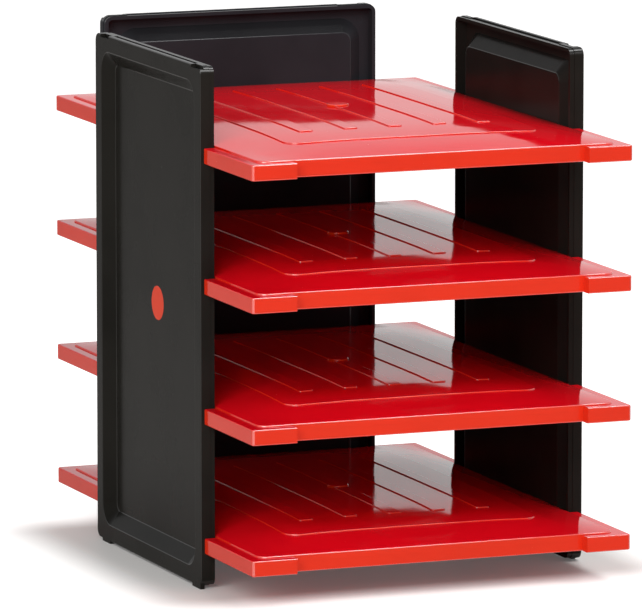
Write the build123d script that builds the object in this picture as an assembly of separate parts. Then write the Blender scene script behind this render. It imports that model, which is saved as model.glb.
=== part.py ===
from build123d import *
import os
from math import hypot

# A stack of four identical letter trays, held by three identical panels.
# Millimetres, +Z up, +Y to the back. The origin is on the desk, in the middle of the footprint.
# Each tray is a crowned rectangular plate with a shallow notch in the middle of every side.
# The panels sit in the left, back and right notches, and papers slide out over the front one.

# Stack
shelf_count = 4
shelf_pitch = 77.5             # from one tray to the next
lowest_shelf_height = 30.6     # desk to the corner tops of the lowest tray

# Panel, a dished plate with a turned-in flange all round
panel_width = 180.0
panel_height = 309.9           # flange to flange, without the feet
panel_depth = 9.0              # depth of the flange
panel_wall = 2.6
panel_corner_radius = 5.0
panel_edge_radius = 0.7        # between the outer face and the flange
rim_width = 9.8                # flat band round the dish
dish_depth = 6.5
dish_slope_width = 8.4
dish_corner_radius = 13.0      # at the rim, smaller at the floor of the dish
dish_edge_radius = 1.1
plateau_edge_radius = 1.4      # round the floor of the dish, on the inner side
lip_width = 2.9                # the inner edge of the flange is set back a little
lip_step = 0.4

# Feet under the panels, and the features that let a second stack stand on the first
foot_height = 1.5
foot_length = 13.6
foot_thickness = 2.7
foot_inset_near = 1.0          # the two feet of a panel stand at unequal distances from its ends
foot_inset_far = 9.6
foot_clearance = 0.3
tongue_height = 0.6            # runs along the bottom, and a groove for it along the top
tongue_width = 3.0
tongue_end_gap = 1.2
tongue_clearance = 0.3

# Tray plate
shelf_width = 240.0
shelf_depth = 338.0
edge_height = 9.4              # side faces of the corners
shelf_wall = 2.4
shelf_corner_radius = 2.0
shelf_edge_radius = 0.8
panel_proud = 2.4              # outer face of a panel beyond the side of the tray
side_gap = 0.3                 # panel ends to notch ends
front_notch_length = 184.0     # no panel stands in the front notch, and it is a little longer
seat_gap = 0.5                 # dish floor of a panel to the bottom of the notch

# Crowned deck: a pillow shape that starts at a small riser inside the corners
riser_height = 0.9
deck_corner_radius = 7.0
crown_height = 6.8
crown_overrun = 3.0            # the mathematical surface goes this far past the deck
frame_inset_side = 39.6        # raised field on the deck, from the sides and ends of the tray
frame_inset_end = 44.8
frame_corner_radius = 10.0
frame_rise = 0.6
strip_count = 5
strip_pitch = 28.3
strip_width = 8.7
strip_end_inset = 76.0
strip_corner_radius = 1.4
strip_rise = 0.6
relief_edge_radius = 0.3

# Stiffening ribs under the deck
rib_thickness = 1.8
rib_recess = 2.0               # bottom of the ribs above the bottom of the edge
long_rib_offset = 42.0
cross_rib_pitch = 81.0
cross_rib_count = 4

# Lugs on the tray that plug into sockets in the flange channel of the panels
lug_width = 4.4
lug_height = 5.0
lug_length = 5.0
lug_clearance = 0.3
socket_rib = 1.6

# Round plugs: a flush one in each panel and a low button in each deck
panel_cap_diameter = 20.6
panel_cap_thickness = 1.2
panel_cap_stem_diameter = 13.6
panel_cap_lip = 0.7            # the snap ring behind the wall, in radius and in height
panel_cap_over_tray = 50.0     # middle of the plug above the tray that it sits over
deck_cap_diameter = 13.0
deck_cap_sink = 1.0            # seat below the top of the middle strip
deck_cap_height = 1.9
deck_cap_edge_radius = 0.6
deck_cap_stem_diameter = 7.6
deck_cap_lip = 0.6
cap_clearance = 0.1            # in radius

# Worked out from the values above
notch_length = panel_width + 2 * side_gap
dish_floor = dish_depth + panel_wall
notch_depth = dish_floor + seat_gap - panel_proud
deck_width = shelf_width - 2 * notch_depth
deck_depth = shelf_depth - 2 * notch_depth
shelf_centre_y = -panel_proud / 2
dish_lean = dish_slope_width / dish_depth
slope_shift = panel_wall * hypot(1, dish_lean)
frame_width = shelf_width - 2 * frame_inset_side
frame_depth = shelf_depth - 2 * frame_inset_end
strip_length = shelf_depth - 2 * strip_end_inset
relief_height = frame_rise + strip_rise
deck_middle = riser_height + crown_height
shelf_heights = [lowest_shelf_height + level * shelf_pitch for level in range(shelf_count)]
panel_cap_height = shelf_heights[(shelf_count - 1) // 2] + panel_cap_over_tray
cut_margin = 1.0               # cutting solids stand past the faces that they cut
relief_top = deck_middle + relief_height + cut_margin


def prism(width, depth, radius, bottom, top):
    """Upright block with rounded corners, centred on the Z axis."""
    return Pos(0, 0, bottom) * extrude(RectangleRounded(width, depth, radius), top - bottom)


def crown_ordinates(half_size):
    """Control ordinates of 1 - t^4, where t is 1 at the edge of the deck."""
    reach = ((half_size + crown_overrun) / half_size) ** 4
    return [1 - reach * (-1) ** index for index in range(5)]


def below_crown(lift):
    """Everything under the deck's crowned surface, with the surface raised by lift."""
    half_width = deck_width / 2
    half_depth = deck_depth / 2
    x_reach = half_width + crown_overrun
    y_reach = half_depth + crown_overrun
    points = []
    for column, x_part in enumerate(crown_ordinates(half_width)):
        row = []
        for line, y_part in enumerate(crown_ordinates(half_depth)):
            x = x_reach * (column / 2 - 1)
            y = y_reach * (line / 2 - 1)
            row.append((x, y, riser_height + lift + crown_height * x_part * y_part))
        points.append(row)
    surface = Face.make_bezier_surface(points)
    return Solid.extrude(surface, Vector(0, 0, -3 * edge_height))


def round_top(solid, radius):
    """Round the edges of the highest face."""
    return fillet(solid.faces().sort_by(Axis.Z)[-1].edges(), radius)


def frame_field():
    """The raised field on the deck, with a top that follows the crown."""
    block = prism(frame_width, frame_depth, frame_corner_radius, -shelf_wall, relief_top)
    return round_top(block & below_crown(frame_rise), relief_edge_radius)


def corner_plate():
    """Outline of the tray with its four notches, up to the corner tops."""
    plate = prism(shelf_width, shelf_depth, shelf_corner_radius, -edge_height, 0)
    plate = fillet(plate.faces().filter_by(Axis.Z).edges(), shelf_edge_radius)
    overlap = shelf_wall / 2
    reach = notch_depth + overlap + cut_margin
    along = Box(reach, notch_length, 3 * edge_height)
    for side, length in ((-1, front_notch_length), (1, notch_length)):
        across = Box(length, reach, 3 * edge_height)
        plate -= Pos(0, side * (shelf_depth + cut_margin - notch_depth - overlap) / 2, 0) * across
        plate -= Pos(side * (shelf_width + cut_margin - notch_depth - overlap) / 2, 0, 0) * along
    return plate


def deck_block():
    """The raised part of the tray inside the corners, with its crown."""
    block = prism(deck_width, deck_depth, deck_corner_radius, -edge_height, deck_middle + cut_margin)
    block = round_top(block & below_crown(0), shelf_edge_radius)
    return fillet(block.faces().sort_by(Axis.Z)[0].edges(), shelf_edge_radius)


def strips():
    """Raised strips along the deck, as one list of solids."""
    middle = (strip_count - 1) / 2
    result = []
    for index in range(strip_count):
        offset = (index - middle) * strip_pitch
        block = prism(strip_width, strip_length, strip_corner_radius, -shelf_wall, relief_top)
        shaped = (Pos(offset, 0, 0) * block) & below_crown(relief_height)
        result.append(round_top(shaped, relief_edge_radius))
    return result


def hollow():
    """The space under the deck, with its stiffening ribs left standing."""
    wall = shelf_wall
    low = -edge_height - cut_margin
    outer = prism(shelf_width - 2 * wall, shelf_depth - 2 * wall, shelf_corner_radius, low, -wall)
    reach = notch_depth + wall
    along = Box(2 * reach, notch_length + 2 * wall, 3 * edge_height)
    for side, length in ((-1, front_notch_length), (1, notch_length)):
        across = Box(length + 2 * wall, 2 * reach, 3 * edge_height)
        outer -= Pos(0, side * shelf_depth / 2, 0) * across
        outer -= Pos(side * shelf_width / 2, 0, 0) * along
    inner = prism(deck_width - 2 * wall, deck_depth - 2 * wall, deck_corner_radius - wall,
                  low, deck_middle + cut_margin)
    space = outer + (inner & below_crown(-wall))
    rib_low = rib_recess - edge_height
    rib_high = deck_middle + cut_margin
    rib_middle = (rib_low + rib_high) / 2
    for side in (-1, 1):
        space -= Pos(side * long_rib_offset, 0, rib_middle) * Box(
            rib_thickness, shelf_depth, rib_high - rib_low)
    for index in range(cross_rib_count):
        offset = (index - (cross_rib_count - 1) / 2) * cross_rib_pitch
        space -= Pos(0, offset, rib_middle) * Box(shelf_width, rib_thickness, rib_high - rib_low)
    return space


def lugs():
    """Six lugs, two in each notch that takes a panel."""
    inset = side_gap + panel_wall + lug_clearance + lug_width / 2
    offset = notch_length / 2 - inset
    length = lug_length + shelf_wall / 2
    height = -edge_height / 2
    result = []
    for end in (-1, 1):
        back = Box(lug_width, length, lug_height)
        result.append(Pos(end * offset, (deck_depth + lug_length - shelf_wall / 2) / 2, height) * back)
        for side in (-1, 1):
            x = side * (deck_width + lug_length - shelf_wall / 2) / 2
            result.append(Pos(x, end * offset, height) * Box(length, lug_width, lug_height))
    return result


def deck_cap_seat():
    return deck_middle + relief_height - deck_cap_sink


def shelf():
    """One tray, with the corner tops at height 0."""
    tray = corner_plate() + deck_block()
    tray += frame_field()
    tray += strips()
    tray -= hollow()
    tray += lugs()
    seat = deck_cap_seat()
    pocket = Cylinder(deck_cap_diameter / 2 + cap_clearance, 2 * deck_cap_height)
    tray -= Pos(0, 0, seat + deck_cap_height) * pocket
    tray -= Pos(0, 0, seat) * Cylinder(deck_cap_stem_diameter / 2 + cap_clearance, 4 * shelf_wall)
    return tray


def deck_cap():
    """Low round button with a snap stem, seated in the middle of the deck."""
    seat = deck_cap_seat()
    stem_bottom = deck_middle - shelf_wall
    button = extrude(Circle(deck_cap_diameter / 2), deck_cap_height)
    button = fillet(button.edges().sort_by(Axis.Z)[-1], deck_cap_edge_radius)
    stem = Pos(0, 0, stem_bottom - seat) * extrude(
        Circle(deck_cap_stem_diameter / 2), seat - stem_bottom)
    lip = Pos(0, 0, stem_bottom - seat - deck_cap_lip) * extrude(
        Circle(deck_cap_stem_diameter / 2 + deck_cap_lip), deck_cap_lip)
    return Pos(0, 0, seat) * (button + stem + lip)


def panel_face(inset, radius, depth):
    """Rounded outline in the panel's plane, at a depth behind its outer face."""
    outline = RectangleRounded(panel_width - 2 * inset, panel_height - 2 * inset, radius)
    return Plane.XZ.offset(depth) * Pos(0, panel_height / 2) * outline


def panel_slab(inset, radius, start, end):
    return extrude(panel_face(inset, radius, start), end - start)


def dish_solid(shift, start, end):
    """Sloping-sided block of the dish, moved outwards by shift for the far side of its wall."""
    faces = []
    for depth in (start, end):
        lean = dish_lean * depth - shift
        faces.append(panel_face(rim_width + lean, dish_corner_radius - lean, depth))
    return loft(faces, ruled=True)


def plateau(start):
    """Inner side of the dish from a depth on, with rounded edges at its top."""
    block = dish_solid(slope_shift, start, dish_floor)
    return fillet(block.faces().sort_by(Axis.Y)[0].edges(), plateau_edge_radius)


def foot_places():
    """Middle of each foot along the panel, the near one at the -X end."""
    reach = (panel_width - foot_length) / 2
    return (foot_inset_near - reach, reach - foot_inset_far)


def socket_boxes():
    """Pairs of small ribs across the flange channel, below and above every lug."""
    reach = rim_width + dish_slope_width + panel_wall
    x = panel_width / 2 - reach / 2
    result = []
    for height in shelf_heights:
        middle = height - edge_height / 2 - foot_height
        below = middle - lug_height / 2 - socket_rib / 2
        above = middle + lug_height / 2 + lug_clearance + socket_rib / 2
        for z in (below, above):
            for end in (-1, 1):
                result.append(Pos(end * x, -panel_depth / 2, z) * Box(reach, panel_depth, socket_rib))
    return result


def panel_blank():
    """One panel, outer face on y = 0 and looking to +Y, bottom of the flange at z = 0."""
    blank = panel_slab(0, panel_corner_radius, 0, panel_depth)
    blank = fillet(blank.faces().sort_by(Axis.Y)[-1].edges(), panel_edge_radius)
    lip_start = panel_depth - lip_width
    blank -= (panel_slab(-cut_margin, panel_corner_radius + cut_margin, lip_start, panel_depth)
              - panel_slab(lip_step, panel_corner_radius - lip_step, lip_start, panel_depth))
    channel = panel_slab(panel_wall, panel_corner_radius - panel_wall, panel_wall,
                         panel_depth + cut_margin)
    channel -= plateau(0)
    channel -= socket_boxes()
    blank -= channel
    blank += plateau(panel_depth - panel_wall)
    blank -= dish_solid(0, 0, dish_depth)
    return blank


def soften_dish(panel):
    """Round the rim and the floor of the dish."""
    outer_face = panel.faces().filter_by(Axis.Y).sort_by(Axis.Y)[-1]
    floor = panel.faces().filter_by(Axis.Y).filter_by_position(Axis.Y, -dish_depth, -dish_depth)[0]
    edges = outer_face.inner_wires()[0].edges() + floor.edges()
    return fillet(edges, dish_edge_radius)


def stacking_features(panel):
    """Feet and a tongue below, and above the slots and the groove for those of another stack."""
    ends = []
    for place in foot_places():
        foot_top = panel_corner_radius
        foot = Box(foot_length, foot_thickness, foot_height + foot_top)
        panel += Pos(place, -foot_thickness / 2, (foot_top - foot_height) / 2) * foot
        slot_depth = foot_height + foot_clearance
        slot = Box(foot_length + 2 * foot_clearance,
                   2 * (foot_thickness + foot_clearance), 2 * slot_depth)
        panel -= Pos(place, 0, panel_height) * slot
        side = 1 if place > 0 else -1
        ends.append(place - side * (foot_length / 2 + foot_clearance + tongue_end_gap))
    length = ends[1] - ends[0]
    middle = (ends[0] + ends[1]) / 2
    tongue = Box(length, tongue_width, tongue_height + panel_wall / 2)
    panel += Pos(middle, -panel_depth / 2, (panel_wall / 2 - tongue_height) / 2) * tongue
    groove = Box(length + 2 * tongue_clearance, tongue_width + 2 * tongue_clearance,
                 2 * (tongue_height + tongue_clearance))
    panel -= Pos(middle, -panel_depth / 2, panel_height) * groove
    return panel


def panel_hole():
    """Stepped hole for the plug in the floor of the dish."""
    seat = Cylinder(panel_cap_diameter / 2 + cap_clearance, 2 * panel_cap_thickness)
    bore = Cylinder(panel_cap_stem_diameter / 2 + cap_clearance, 4 * panel_wall)
    hole = Pos(0, -dish_depth, 0) * Rot(90, 0, 0) * (seat + bore)
    return Pos(0, 0, panel_cap_height - foot_height) * hole


def panel():
    """One finished panel in its own frame, standing on its feet."""
    blank = soften_dish(panel_blank())
    blank = stacking_features(blank) - panel_hole()
    return Pos(0, 0, foot_height) * blank


def panel_cap():
    """Flush round plug for the middle of a panel."""
    radius = panel_cap_stem_diameter / 2
    button = extrude(Circle(panel_cap_diameter / 2), panel_cap_thickness)
    stem = extrude(Circle(radius), panel_wall)
    lip = Pos(0, 0, panel_wall) * extrude(Circle(radius + panel_cap_lip), panel_cap_lip)
    plug = Rot(90, 0, 0) * (button + stem + lip)
    return Pos(0, -dish_depth, panel_cap_height) * plug


def placed(shape, turn):
    """Turn a panel shape about the stack's middle and push it out to its side."""
    reach = (shelf_depth if turn == 0 else shelf_width) / 2 + panel_proud
    return Pos(0, shelf_centre_y, 0) * Rot(0, 0, turn) * Pos(0, reach, 0) * shape


def save(shape, name):
    shape.label = name
    export_step(shape, f"parts/{name}.step")


def main():
    os.makedirs("parts", exist_ok=True)
    tray = shelf()
    button = deck_cap()
    for level, height in enumerate(shelf_heights, start=1):
        place = Pos(0, shelf_centre_y, height)
        save(place * tray, f"tray_{level}")
        save(place * button, f"tray_{level}_cap")
    wall = panel()
    plug = panel_cap()
    for name, turn in (("back", 0), ("left", 90), ("right", -90)):
        save(placed(wall, turn), f"{name}_panel")
        save(placed(plug, turn), f"{name}_panel_cap")


if __name__ == "__main__":
    main()
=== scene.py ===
"""Studio scene of a stack of four letter trays that three panels hold.

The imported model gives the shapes. The classes below dress its pieces in moulded
plastic and set up the floor, the lamps and the camera.
"""

import logging
import math
from dataclasses import dataclass, replace
from enum import Enum
from typing import Any, Union

import bmesh
import bpy
from mathutils import Euler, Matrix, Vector

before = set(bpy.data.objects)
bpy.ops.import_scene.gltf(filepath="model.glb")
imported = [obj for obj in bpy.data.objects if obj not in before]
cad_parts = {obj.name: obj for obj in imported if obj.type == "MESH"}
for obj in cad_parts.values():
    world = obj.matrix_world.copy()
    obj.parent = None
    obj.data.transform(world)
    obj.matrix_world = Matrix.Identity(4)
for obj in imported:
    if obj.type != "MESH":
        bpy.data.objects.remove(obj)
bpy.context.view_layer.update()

LOG = logging.getLogger("letter_trays")
WHITE = (1.0, 1.0, 1.0, 1.0)
DEEP = (0.0, 0.0, 0.0, 1.0)

Number = Union[int, float]
Colour = tuple[float, float, float, float]
Span = tuple[float, float]


class Term:
    """A shader socket that takes part in an expression."""

    def __init__(self, graph: "Graph", socket: bpy.types.NodeSocket) -> None:
        """Wraps an output socket of a graph.

        Args:
            graph: The graph that the socket's node is in.
            socket: The output socket.
        """
        self.graph = graph
        self.socket = socket

    def __add__(self, other: "Operand") -> "Term":
        """This term plus another."""
        return self.graph.math("ADD", self, other)

    def __radd__(self, other: "Operand") -> "Term":
        """Another term plus this one."""
        return self.graph.math("ADD", other, self)

    def __sub__(self, other: "Operand") -> "Term":
        """This term minus another."""
        return self.graph.math("SUBTRACT", self, other)

    def __rsub__(self, other: "Operand") -> "Term":
        """Another term minus this one."""
        return self.graph.math("SUBTRACT", other, self)

    def __mul__(self, other: "Operand") -> "Term":
        """This term times another."""
        return self.graph.math("MULTIPLY", self, other)

    def __rmul__(self, other: "Operand") -> "Term":
        """Another term times this one."""
        return self.graph.math("MULTIPLY", other, self)

    def __pow__(self, other: "Operand") -> "Term":
        """This term to a power."""
        return self.graph.math("POWER", self, other)

    def __abs__(self) -> "Term":
        """This term without its sign."""
        return self.graph.math("ABSOLUTE", self)

    def at_least(self, other: "Operand") -> "Term":
        """The larger of this term and another."""
        return self.graph.math("MAXIMUM", self, other)

    def ramp(self, start: Number, end: Number) -> "Term":
        """A smooth step that is 0 at start and 1 at end.

        Args:
            start: The value at which the step begins.
            end: The value at which the step is complete.

        Returns:
            The step as a term.
        """
        node = self.graph.node(
            "ShaderNodeMapRange",
            {"interpolation_type": "SMOOTHSTEP"},
            {"Value": self, "From Min": start, "From Max": end},
        )
        return Term(self.graph, node.outputs["Result"])


Operand = Union[Term, Number]


class Graph:
    """The node tree of one material or of the world."""

    def __init__(self, tree: bpy.types.NodeTree) -> None:
        """Takes over a node tree and empties it.

        Args:
            tree: The tree to build in.
        """
        self.tree = tree
        tree.nodes.clear()

    def node(
        self,
        kind: str,
        settings: dict[str, Any] | None = None,
        inputs: dict[Any, Any] | None = None,
    ) -> bpy.types.Node:
        """Adds one node, with its settings made before its sockets.

        Args:
            kind: Blender's name for the type of node.
            settings: Values of the node's own properties.
            inputs: A value or a term for each input, by name or by number.

        Returns:
            The new node.
        """
        made = self.tree.nodes.new(kind)
        for name, value in (settings or {}).items():
            setattr(made, name, value)
        for name, value in (inputs or {}).items():
            if isinstance(value, Term):
                self.tree.links.new(value.socket, made.inputs[name])
            else:
                made.inputs[name].default_value = value
        return made

    def math(self, operation: str, *values: Operand) -> Term:
        """Adds a Math node.

        Args:
            operation: The node's operation.
            values: What goes into its sockets, in order.

        Returns:
            The node's value.
        """
        made = self.node("ShaderNodeMath", {"operation": operation}, dict(enumerate(values)))
        return Term(self, made.outputs[0])

    def position(self) -> Term:
        """The place of the shaded point on its object."""
        return Term(self, self.node("ShaderNodeTexCoord").outputs["Object"])

    def facing(self) -> Term:
        """The direction that the shaded surface looks in."""
        return Term(self, self.node("ShaderNodeNewGeometry").outputs["Normal"])

    def axes(self, vector: Term) -> tuple[Term, Term, Term]:
        """The three parts of a vector."""
        made = self.node("ShaderNodeSeparateXYZ", inputs={0: vector})
        return tuple(Term(self, made.outputs[i]) for i in range(3))

    def stretched(self, vector: Term, scale: tuple[float, float, float]) -> Term:
        """A vector with each of its parts scaled.

        Args:
            vector: The vector to scale.
            scale: The factor along X, Y and Z.

        Returns:
            The scaled vector.
        """
        made = self.node("ShaderNodeMapping", inputs={"Vector": vector, "Scale": scale})
        return Term(self, made.outputs[0])

    def noise(self, vector: Term, size: float, detail: float = 2.0, rough: float = 0.5) -> Term:
        """Cloudy noise from 0 to 1.

        Args:
            vector: Where the noise is read.
            size: The size of its patches, in metres.
            detail: How many finer layers lie on it.
            rough: How strong the finer layers are.

        Returns:
            The noise.
        """
        made = self.node(
            "ShaderNodeTexNoise",
            {"noise_dimensions": "3D"},
            {"Vector": vector, "Scale": 1 / size, "Detail": detail, "Roughness": rough},
        )
        return Term(self, made.outputs["Fac"])

    def specks(self, vector: Term, size: float) -> Term:
        """Distance to the nearest of many scattered points, in cells.

        Args:
            vector: Where the pattern is read.
            size: The mean spacing of the points, in metres.

        Returns:
            The distance.
        """
        made = self.node("ShaderNodeTexVoronoi", inputs={"Vector": vector, "Scale": 1 / size})
        return Term(self, made.outputs["Distance"])

    def mix(self, factor: Operand, first: Any, second: Any) -> Term:
        """Blends two colours.

        Args:
            factor: 0 for the first colour and 1 for the second.
            first: A colour or a term.
            second: A colour or a term.

        Returns:
            The blended colour.
        """
        made = self.node("ShaderNodeMix", {"data_type": "RGBA"}, {0: factor, 6: first, 7: second})
        return Term(self, made.outputs[2])


@dataclass(frozen=True)
class MouldedPlastic:
    """Injection-moulded plastic with flow marks, hairlines and a faint waviness.

    Sizes are in metres. A span is where a pattern's smooth step begins and where it is
    complete. A dulling is what a pattern adds to the roughness.
    """

    name: str
    colour: Colour
    painted_shade_top_colour: Colour
    # Painted shade: the colour of faces that look up, which stands in for the shade and red bounce
    # that fall on them.
    flow_shade: float
    dust_colour: Colour
    roughness: float
    refraction: float
    wave_depth: float
    grain_depth: float
    hairline_axis: tuple[float, float, float]
    painted_shade_top_span: Span = (0.3, 0.9)

    flow_size: float = 0.045
    flow_span: Span = (0.35, 0.75)
    rub_size: float = 0.028
    rub_span: Span = (0.45, 0.8)
    rub_dulling: float = 0.05
    hairline_size: float = 0.0004
    hairline_span: Span = (0.62, 0.74)
    hairline_patch_size: float = 0.014
    hairline_patch_span: Span = (0.5, 0.62)
    hairline_dulling: float = 0.08
    hairline_depth_share: float = 0.5
    speck_size: float = 0.011
    speck_span: Span = (0.018, 0.03)
    speck_cover: float = 0.35
    speck_dulling: float = 0.3
    wave_size: float = 0.009
    grain_size: float = 0.0006

    edge_shine: float = 0.8
    edge_refraction: float = 1.8
    edge_roughness: float = 0.08
    edge_flatness_span: Span = (0.93, 0.98)
    edge_facing_span: Span = (-1.0, 0.0)
    slope_flatness: float = 0.0
    slope_span: Span = (0.005, 0.02)

    pin_places: tuple[tuple[float, float], ...] = ()
    pin_plane: float = 0.1683
    pin_plane_blend: float = 0.0006
    pin_radius: float = 0.0022
    pin_rim_share: float = 0.8
    pin_depth: float = 0.00012

    def material(self) -> bpy.types.Material:
        """Builds the finish as a material.

        Returns:
            The material.
        """
        made = bpy.data.materials.new(self.name)
        made.use_nodes = True
        graph = Graph(made.node_tree)
        place = graph.position()
        facing = graph.axes(graph.facing())
        flow = graph.noise(place, self.flow_size, 3.0).ramp(*self.flow_span)
        rub = graph.noise(place, self.rub_size, 4.0, 0.6).ramp(*self.rub_span)
        hairlines = self.hairlines(graph, place)
        dust = 1 - graph.specks(place, self.speck_size).ramp(*self.speck_span)
        # Painted shade: faces that look up take their own colour, deeper crimson on the red
        # plastics and darker on the black ones.
        colour = graph.mix(facing[2].ramp(*self.painted_shade_top_span), self.colour, self.painted_shade_top_colour)
        colour = graph.mix(flow * self.flow_shade, colour, DEEP)
        colour = graph.mix(dust * self.speck_cover, colour, self.dust_colour)
        roughness = (
            self.roughness
            + rub * self.rub_dulling
            + hairlines * self.hairline_dulling
            + dust * self.speck_dulling
        )
        height = (
            graph.noise(place, self.wave_size, 1.0) * self.wave_depth
            + graph.noise(place, self.grain_size, 2.0) * self.grain_depth
            - hairlines * self.grain_depth * self.hairline_depth_share
            - self.pin_marks(graph, place) * self.pin_depth
        )
        bump = graph.node(
            "ShaderNodeBump", inputs={"Strength": 1.0, "Distance": 1.0, "Height": height}
        )
        shader = graph.node(
            "ShaderNodeBsdfPrincipled",
            inputs={
                "Base Color": colour,
                "Roughness": roughness,
                "IOR": self.refraction,
                "Coat Weight": self.rubbed_edges(facing) * self.edge_shine,
                "Coat Roughness": self.edge_roughness,
                "Coat IOR": self.edge_refraction,
                "Normal": Term(graph, bump.outputs[0]),
            },
        )
        graph.node("ShaderNodeOutputMaterial", inputs={"Surface": Term(graph, shader.outputs[0])})
        return made

    def hairlines(self, graph: Graph, place: Term) -> Term:
        """Fine scratches, which lie in patches.

        Args:
            graph: The graph to build in.
            place: The place of the shaded point.

        Returns:
            1 on a scratch and 0 elsewhere.
        """
        lines = graph.noise(graph.stretched(place, self.hairline_axis), self.hairline_size, 1.0)
        patches = graph.noise(place, self.hairline_patch_size)
        return lines.ramp(*self.hairline_span) * patches.ramp(*self.hairline_patch_span)

    def rubbed_edges(self, facing: tuple[Term, Term, Term]) -> Term:
        """The rounded edges, which hands and sheets have polished.

        An edge looks along none of the axes. The sloped sides of the panels' dishes don't
        either, and are left out by the largest part of the direction that they look in.

        Args:
            facing: The three parts of the direction that the surface looks in.

        Returns:
            1 on a rubbed edge and 0 elsewhere.
        """
        flatness = abs(facing[0]).at_least(abs(facing[1])).at_least(abs(facing[2]))
        edge = 1 - flatness.ramp(*self.edge_flatness_span)
        edge = edge * abs(flatness - self.slope_flatness).ramp(*self.slope_span)
        return edge * abs(facing[1]).ramp(*self.edge_facing_span)

    def pin_marks(self, graph: Graph, place: Term) -> Operand:
        """Round marks of ejector pins, on the inner side of the back panel's rim.

        Args:
            graph: The graph to build in.
            place: The place of the shaded point.

        Returns:
            1 inside a mark and 0 elsewhere.
        """
        x, y, z = graph.axes(place)
        inner = 1 - y.ramp(self.pin_plane, self.pin_plane + self.pin_plane_blend)
        marks: Operand = 0.0
        for across, up in self.pin_places:
            reach = ((x - across) ** 2 + (z - up) ** 2) ** 0.5
            marks = marks + (1 - reach.ramp(self.pin_radius * self.pin_rim_share, self.pin_radius))
        return marks * inner


class Finish(Enum):
    """The finishes of the stack."""

    TRAY = "tray plastic"
    PANEL = "panel plastic"
    # The back panel's colour also carries a painted reflection.
    BACK_PANEL = "panel plastic with pin marks and painted reflection"
    PLUG = "plug plastic"


BLACK_PLASTIC = MouldedPlastic(
    name="panel_plastic",
    colour=(0.018, 0.0166, 0.0142, 1.0),
    painted_shade_top_colour=(0.0062, 0.0062, 0.0062, 1.0),
    flow_shade=0.25,
    dust_colour=(0.06, 0.06, 0.055, 1.0),
    roughness=0.17,
    refraction=1.095,
    wave_depth=0.00002,
    grain_depth=0.0000025,
    hairline_axis=(0.2, 0.2, 0.2),
    slope_flatness=0.791,
    edge_shine=0.35,
)
FINISHES: dict[Finish, MouldedPlastic] = {
    Finish.TRAY: MouldedPlastic(
        name="tray_plastic",
        colour=(0.80, 0.034, 0.011, 1.0),
        painted_shade_top_colour=(0.86, 0.0035, 0.013, 1.0),
        flow_shade=0.06,
        dust_colour=(0.80, 0.30, 0.25, 1.0),
        roughness=0.06,
        refraction=1.23,
        wave_depth=0.000006,
        grain_depth=0.0000008,
        hairline_axis=(1.0, 0.03, 1.0),
        edge_facing_span=(0.2, 0.5),
        edge_shine=1.0,
        edge_refraction=2.3,
    ),
    Finish.PANEL: BLACK_PLASTIC,
    Finish.BACK_PANEL: replace(
        BLACK_PLASTIC,
        name="back_panel_painted_reflection_plastic",
        # Painted reflection: lighter and bluer than the side panels' plastic, standing in for pale
        # things mirrored in the inner face.
        colour=(0.028, 0.0295, 0.034, 1.0),
        pin_places=((-0.0814, 0.3008), (-0.0240, 0.3057), (0.0240, 0.3057), (0.0814, 0.3008)),
    ),
    Finish.PLUG: MouldedPlastic(
        name="plug_plastic",
        colour=(0.86, 0.046, 0.006, 1.0),
        painted_shade_top_colour=(0.78, 0.006, 0.012, 1.0),
        flow_shade=0.06,
        dust_colour=(0.85, 0.35, 0.28, 1.0),
        roughness=0.2,
        refraction=1.15,
        wave_depth=0.000006,
        grain_depth=0.0000015,
        hairline_axis=(1.0, 1.0, 1.0),
    ),
}


@dataclass
class TrayStack:
    """The four trays with their round buttons."""

    count: int = 4

    def dress(self, materials: dict[Finish, bpy.types.Material]) -> None:
        """Gives every tray and button its plastic.

        Args:
            materials: The finished materials.
        """
        for level in range(1, self.count + 1):
            give(f"tray_{level}", materials[Finish.TRAY])
            give(f"tray_{level}_cap", materials[Finish.PLUG])


@dataclass
class PanelSet:
    """The three panels with their round plugs."""

    finishes: tuple[tuple[str, Finish], ...] = (
        ("left", Finish.PANEL),
        ("right", Finish.PANEL),
        ("back", Finish.BACK_PANEL),
    )

    def dress(self, materials: dict[Finish, bpy.types.Material]) -> None:
        """Gives every panel and plug its plastic.

        Args:
            materials: The finished materials.
        """
        for side, finish in self.finishes:
            give(f"{side}_panel", materials[finish])
            give(f"{side}_panel_cap", materials[Finish.PLUG])


def give(node: str, material: bpy.types.Material) -> None:
    """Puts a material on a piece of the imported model.

    Args:
        node: The piece's name.
        material: What it is made of.
    """
    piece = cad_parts[node]
    for slot in piece.material_slots:
        slot.material = material
    LOG.info("%s is %s", node, material.name)


@dataclass
class Lamp:
    """One soft box."""

    name: str
    place: tuple[float, float, float]
    target: tuple[float, float, float]
    width: float
    height: float
    power: float
    colour: tuple[float, float, float] = (1.0, 1.0, 1.0)

    def build(self) -> bpy.types.Object:
        """Adds the lamp to the scene.

        Returns:
            The lamp's object.
        """
        data = bpy.data.lights.new(self.name, "AREA")
        data.shape = "RECTANGLE"
        data.size = self.width
        data.size_y = self.height
        data.energy = self.power
        data.color = self.colour
        made = bpy.data.objects.new(self.name, data)
        made.location = self.place
        aim = Vector(self.target) - Vector(self.place)
        made.rotation_euler = aim.to_track_quat("-Z", "Y").to_euler()
        bpy.context.scene.collection.objects.link(made)
        return made


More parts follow.
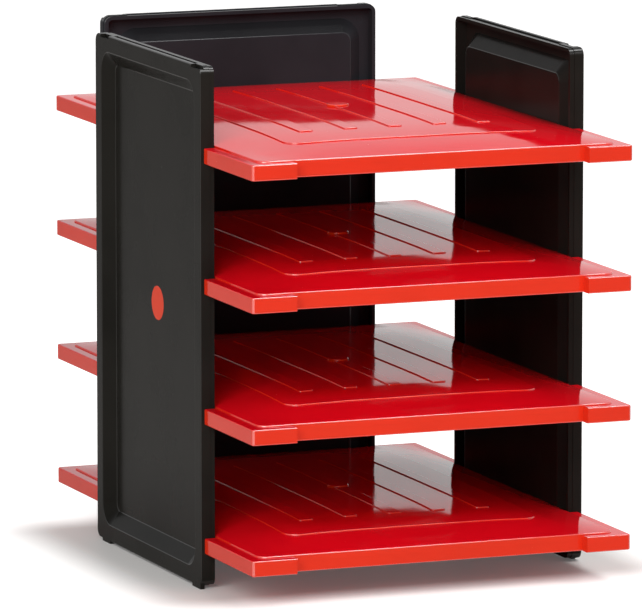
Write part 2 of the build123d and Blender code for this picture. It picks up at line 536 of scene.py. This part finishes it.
@dataclass
class Studio:
    """The floor, the surroundings and the lamps.

    The floor is darker over the stack's footprint, by its cast shadow and a weak painted glow, and
    turns white within a few centimetres of it. A mirror value is how bright the white is in a
    glossy surface.
    """

    floor_reach: float = 14.0
    floor_colour: Colour = (0.84, 0.815, 0.79, 1.0)
    foot_half_width: float = 0.13
    foot_half_depth: float = 0.112
    glow_span: Span = (0.005, 0.055)
    near_glow: float = 0.08
    far_glow: float = 0.7
    room_level: float = 0.26
    room_mirror: float = 0.82
    floor_mirror: float = 0.15
    lamps: tuple[Lamp, ...] = (
        Lamp("overhead_box", (0.62, -0.1, 1.8), (0.0, 0.0, 0.1), 0.5, 0.5, 8.0),
        Lamp("front_box", (0.5, -1.75, 2.2), (0.0, 0.0, 0.15), 1.1, 1.0, 20.0),
        Lamp("left_box", (-1.5, -1.7, 1.35), (0.0, 0.0, 0.15), 1.6, 1.4, 35.0),
    )

    def build(self) -> None:
        """Adds everything that stands round the object."""
        self.build_floor()
        self.build_room()
        for lamp in self.lamps:
            lamp.build()
        LOG.info("studio with %d lamps", len(self.lamps))

    def build_floor(self) -> None:
        """Adds the pale floor, whose painted glow shows it white to the camera away from the
        stack.
        """
        shape = bmesh.new()
        bmesh.ops.create_grid(shape, x_segments=1, y_segments=1, size=self.floor_reach)
        mesh = bpy.data.meshes.new("floor")
        shape.to_mesh(mesh)
        shape.free()
        floor = bpy.data.objects.new("floor", mesh)
        bpy.context.scene.collection.objects.link(floor)
        material = bpy.data.materials.new("floor_paint")
        material.use_nodes = True
        graph = Graph(material.node_tree)
        x, y, _ = graph.axes(graph.position())
        # Painted shade: the glow is weak over the stack's footprint and full a few centimetres
        # out, so the floor next to the stack is painted darker on top of its cast shadow.
        aside = (abs(x) - self.foot_half_width).at_least(0.0)
        ahead = (abs(y) - self.foot_half_depth).at_least(0.0)
        away = ((aside**2 + ahead**2) ** 0.5).ramp(*self.glow_span)
        glow = self.near_glow + away * (self.far_glow - self.near_glow)
        glow = glow * self.seen(graph, self.floor_mirror)
        shader = graph.node(
            "ShaderNodeBsdfPrincipled",
            inputs={
                "Base Color": self.floor_colour,
                "Roughness": 0.5,
                "Emission Color": glow,
                "Emission Strength": 1.0,
            },
        )
        graph.node("ShaderNodeOutputMaterial", inputs={"Surface": Term(graph, shader.outputs[0])})
        floor.data.materials.append(material)

    def seen(self, graph: Graph, mirror: float) -> Term:
        """1 for rays that show the background, less for mirrored ones and 0 for light.

        Args:
            graph: The graph to build in.
            mirror: How bright the background is in a mirroring surface.

        Returns:
            The mask.
        """
        path = graph.node("ShaderNodeLightPath")
        masks = [
            Term(graph, path.outputs[name])
            for name in ("Is Camera Ray", "Is Glossy Ray", "Is Transmission Ray")
        ]
        return masks[0].at_least(masks[1] * mirror).at_least(masks[2])

    def build_room(self) -> None:
        """Makes the world white to look at and softly grey as a light."""
        world = bpy.data.worlds.new("room")
        world.use_nodes = True
        bpy.context.scene.world = world
        graph = Graph(world.node_tree)
        seen = self.seen(graph, self.room_mirror)
        strength = self.room_level + seen * (1 - self.room_level)
        light = graph.node("ShaderNodeBackground", inputs={"Color": WHITE, "Strength": strength})
        graph.node("ShaderNodeOutputWorld", inputs={"Surface": Term(graph, light.outputs[0])})


@dataclass
class Viewpoint:
    """The camera, level and without shift."""

    place: tuple[float, float, float] = (-1.7473, -4.4143, 0.8973)
    turn: float = 21.479
    dip: float = 8.957
    lens: float = 446.11
    sensor: float = 36.0

    def build(self) -> None:
        """Adds the camera and makes it the scene's own."""
        data = bpy.data.cameras.new("camera")
        data.lens = self.lens
        data.sensor_width = self.sensor
        data.clip_start = 0.1
        data.clip_end = 100.0
        camera = bpy.data.objects.new("camera", data)
        camera.location = self.place
        angles = (math.radians(90 - self.dip), 0.0, math.radians(-self.turn))
        camera.rotation_euler = Euler(angles)
        bpy.context.scene.collection.objects.link(camera)
        bpy.context.scene.camera = camera


def main() -> None:
    """Builds the scene in order."""
    logging.basicConfig(level=logging.INFO, format="%(name)s: %(message)s")
    bpy.context.scene.view_settings.view_transform = "Standard"
    materials = {finish: recipe.material() for finish, recipe in FINISHES.items()}
    TrayStack().dress(materials)
    PanelSet().dress(materials)
    Studio().build()
    Viewpoint().build()


if __name__ == "__main__":
    main()
